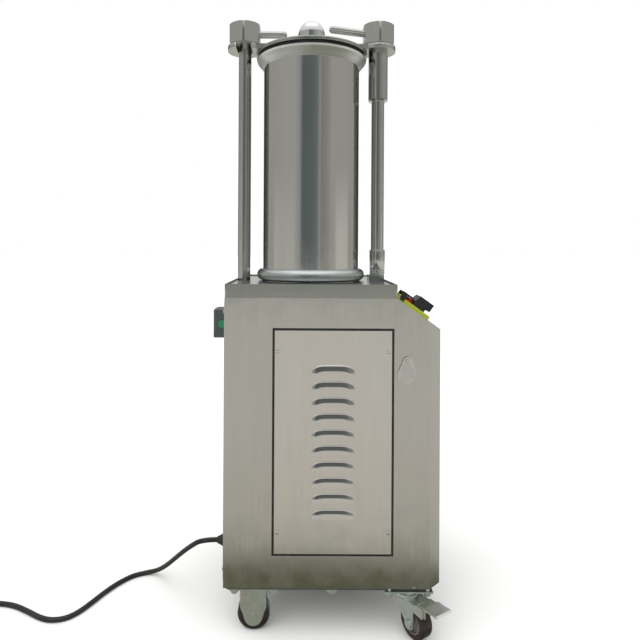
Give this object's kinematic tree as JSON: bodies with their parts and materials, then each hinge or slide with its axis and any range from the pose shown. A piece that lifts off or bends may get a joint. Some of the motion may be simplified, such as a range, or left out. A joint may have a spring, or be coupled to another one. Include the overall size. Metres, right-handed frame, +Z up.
{
  "type": "sausage stuffer",
  "caption": "Floor-standing hydraulic sausage stuffer: steel cabinet on castors, upright barrel, swing-away clamped lid with outlet elbow, sloped control panel.",
  "frame": {"origin": "on the floor, on the barrel's axis", "axes": "+Z up along the barrel, +X towards the operator's sloped panel, +Y towards the outlet's side"},
  "size_m": [1.1384, 0.446, 1.3053],
  "materials": {
    "cabinet_steel": "brushed stainless sheet, satin",
    "door_steel": "brushed stainless sheet, satin",
    "tray_steel": "brushed stainless sheet, satin",
    "polished_steel": "polished stainless",
    "satin_steel": "turned stainless, satin",
    "column_steel": "ground stainless bar",
    "screw_steel": "bright stainless",
    "zinc": "zinc-plated pressed steel",
    "rod_chrome": "hard chrome",
    "frame_paint": "satin dark grey paint",
    "ram_paint": "satin blue-grey paint",
    "tank_paint": "satin blue-grey paint",
    "motor_paint": "semi-gloss blue paint",
    "cast_alloy": "cast aluminium",
    "pipe_zinc": "zinc-plated tube",
    "piston_plastic": "white food-grade polymer",
    "seal_rubber": "cream food-grade seal",
    "gasket_rubber": "black rubber",
    "cord_rubber": "black rubber",
    "tyre_rubber": "dark brown-black rubber",
    "box_plastic": "dark grey-green moulded plastic",
    "button_green": "green moulded plastic",
    "switch_yellow": "yellow moulded plastic",
    "switch_black": "black moulded plastic",
    "button_red": "red moulded plastic",
    "fan_plastic": "black moulded plastic"
  },
  "bodies": {
    "machine": {"cabinet_shell": "cabinet_steel", "rear_panel": "cabinet_steel", "service_door": "door_steel", "panel_screws": "screw_steel", "base_plate": "zinc", "drip_tray": "tray_steel", "cross_member": "frame_paint", "left_column": "column_steel", "right_column": "column_steel", "column_nuts": "zinc", "column_coupling": "column_steel", "barrel_tube": "polished_steel", "barrel_flange": "satin_steel", "barrel_foot": "polished_steel", "barrel_seat": "satin_steel", "ram_tube": "ram_paint", "ram_head": "ram_paint", "ram_cap": "ram_paint", "oil_tank": "tank_paint", "motor": "motor_paint", "pump": "cast_alloy", "valve_block": "cast_alloy", "oil_pipes": "pipe_zinc", "switch_box": "box_plastic", "switch_base": "switch_yellow", "cable_gland": "cord_rubber", "power_cord": "cord_rubber", "cord_coil": "cord_rubber", "cord_plug": "cord_rubber", "fixed_forks": "zinc", "castor_plates": "zinc"},
    "lid": {"lid_plate": "satin_steel", "lid_gasket": "gasket_rubber", "lid_beam": "satin_steel", "swing_sleeve": "column_steel", "outlet_elbow": "polished_steel"},
    "union_nut": {"outlet_nut": "polished_steel"},
    "left_thrust_washer": {"left_washer": "satin_steel"},
    "right_thrust_washer": {"right_washer": "satin_steel"},
    "left_clamp": {"left_nut": "satin_steel", "left_handle": "column_steel"},
    "right_clamp": {"right_nut": "satin_steel", "right_handle": "column_steel"},
    "piston": {"stuffing_piston": "piston_plastic", "piston_seals": "seal_rubber", "piston_rod": "rod_chrome"},
    "fan_shaft": {"motor_fan": "fan_plastic"},
    "adjuster_lid": {"adjuster_cover": "satin_steel"},
    "green_button": {"box_button": "button_green"},
    "red_button": {"stop_button": "button_red"},
    "run_button": {"start_button": "button_green"},
    "switch_hood": {"switch_cover": "switch_black"},
    "near_fork": {"front_fork_near": "zinc"},
    "far_fork": {"front_fork_far": "zinc"},
    "near_front_wheel": {"front_wheel_near": "tyre_rubber"},
    "far_front_wheel": {"front_wheel_far": "tyre_rubber"},
    "near_rear_wheel": {"rear_wheel_near": "tyre_rubber"},
    "far_rear_wheel": {"rear_wheel_far": "tyre_rubber"},
    "near_pedal": {"brake_near": "zinc"},
    "far_pedal": {"brake_far": "zinc"}
  },
  "joints": [
    {"name": "lid_swing", "type": "hinge", "parent": "machine", "child": "lid", "pos_m": [0.154, 0, 1.2], "axis": [0, 0, -1], "range_deg": [0, 120]},
    {"name": "union_nut_turn", "type": "hinge", "parent": "lid", "child": "union_nut", "pos_m": [0, 0.118, 1.2643], "axis": [0, 1, 0], "continuous": true},
    {"name": "left_nut_rise", "type": "slide", "parent": "machine", "child": "left_thrust_washer", "axis": [0, 0, 1], "range_m": [0, 0.006]},
    {"name": "left_nut_turn", "type": "hinge", "parent": "left_thrust_washer", "child": "left_clamp", "pos_m": [-0.154, 0, 1.2376], "axis": [0, 0, 1], "range_deg": [0, 720]},
    {"name": "right_nut_rise", "type": "slide", "parent": "machine", "child": "right_thrust_washer", "axis": [0, 0, 1], "range_m": [0, 0.006]},
    {"name": "right_nut_turn", "type": "hinge", "parent": "right_thrust_washer", "child": "right_clamp", "pos_m": [0.154, 0, 1.2376], "axis": [0, 0, 1], "range_deg": [0, 720]},
    {"name": "piston_stroke", "type": "slide", "parent": "machine", "child": "piston", "axis": [0, 0, 1], "range_m": [0, 0.45]},
    {"name": "fan_spin", "type": "hinge", "parent": "machine", "child": "fan_shaft", "pos_m": [0.16, 0, 0.4], "axis": [0, 0, 1], "continuous": true},
    {"name": "adjuster_lid_turn", "type": "hinge", "parent": "machine", "child": "adjuster_lid", "pos_m": [0.192, -0.187, 0.548], "axis": [0, 1, 0], "range_deg": [-110, 75]},
    {"name": "green_button_press", "type": "slide", "parent": "machine", "child": "green_button", "axis": [0, 1, 0], "range_m": [0, 0.003], "stiffness_N_per_m": 300},
    {"name": "stop_press", "type": "slide", "parent": "machine", "child": "red_button", "axis": [-0.5795, 0, -0.815], "range_m": [0, 0.003], "stiffness_N_per_m": 300},
    {"name": "start_press", "type": "slide", "parent": "machine", "child": "run_button", "axis": [-0.5795, 0, -0.815], "range_m": [0, 0.003], "stiffness_N_per_m": 300},
    {"name": "switch_hood_lift", "type": "hinge", "parent": "machine", "child": "switch_hood", "pos_m": [0.1927, -0.1, 0.66832], "axis": [0, -1, 0], "range_deg": [0, 95]},
    {"name": "near_swivel", "type": "hinge", "parent": "machine", "child": "near_fork", "pos_m": [0.197, -0.158, 0.08], "axis": [0, 0, 1], "continuous": true},
    {"name": "near_front_wheel_spin", "type": "hinge", "parent": "near_fork", "child": "near_front_wheel", "pos_m": [0.21225, -0.18148, 0.0325], "axis": [0.8387, 0.5446, 0], "continuous": true},
    {"name": "near_rear_wheel_spin", "type": "hinge", "parent": "machine", "child": "near_rear_wheel", "pos_m": [-0.113, -0.152, 0.0325], "axis": [0, 1, 0], "continuous": true},
    {"name": "near_pedal_press", "type": "hinge", "parent": "near_fork", "child": "near_pedal", "pos_m": [0.2275, -0.20497, 0.072], "axis": [0.8387, 0.5446, 0], "range_deg": [0, 18], "stiffness_Nm_per_rad": 1},
    {"name": "far_swivel", "type": "hinge", "parent": "machine", "child": "far_fork", "pos_m": [0.197, 0.158, 0.08], "axis": [0, 0, 1], "continuous": true},
    {"name": "far_front_wheel_spin", "type": "hinge", "parent": "far_fork", "child": "far_front_wheel", "pos_m": [0.18175, 0.13452, 0.0325], "axis": [0.8387, -0.5446, 0], "continuous": true},
    {"name": "far_rear_wheel_spin", "type": "hinge", "parent": "machine", "child": "far_rear_wheel", "pos_m": [-0.113, 0.152, 0.0325], "axis": [0, 1, 0], "continuous": true},
    {"name": "far_pedal_press", "type": "hinge", "parent": "far_fork", "child": "far_pedal", "pos_m": [0.1665, 0.11103, 0.072], "axis": [0.8387, -0.5446, 0], "range_deg": [0, 18], "stiffness_Nm_per_rad": 1}
  ],
  "couplings": [
    {"joint": "left_nut_rise", "follows": "left_nut_turn", "m_per_rad": 0.00047746},
    {"joint": "right_nut_rise", "follows": "right_nut_turn", "m_per_rad": 0.00047746}
  ]
}
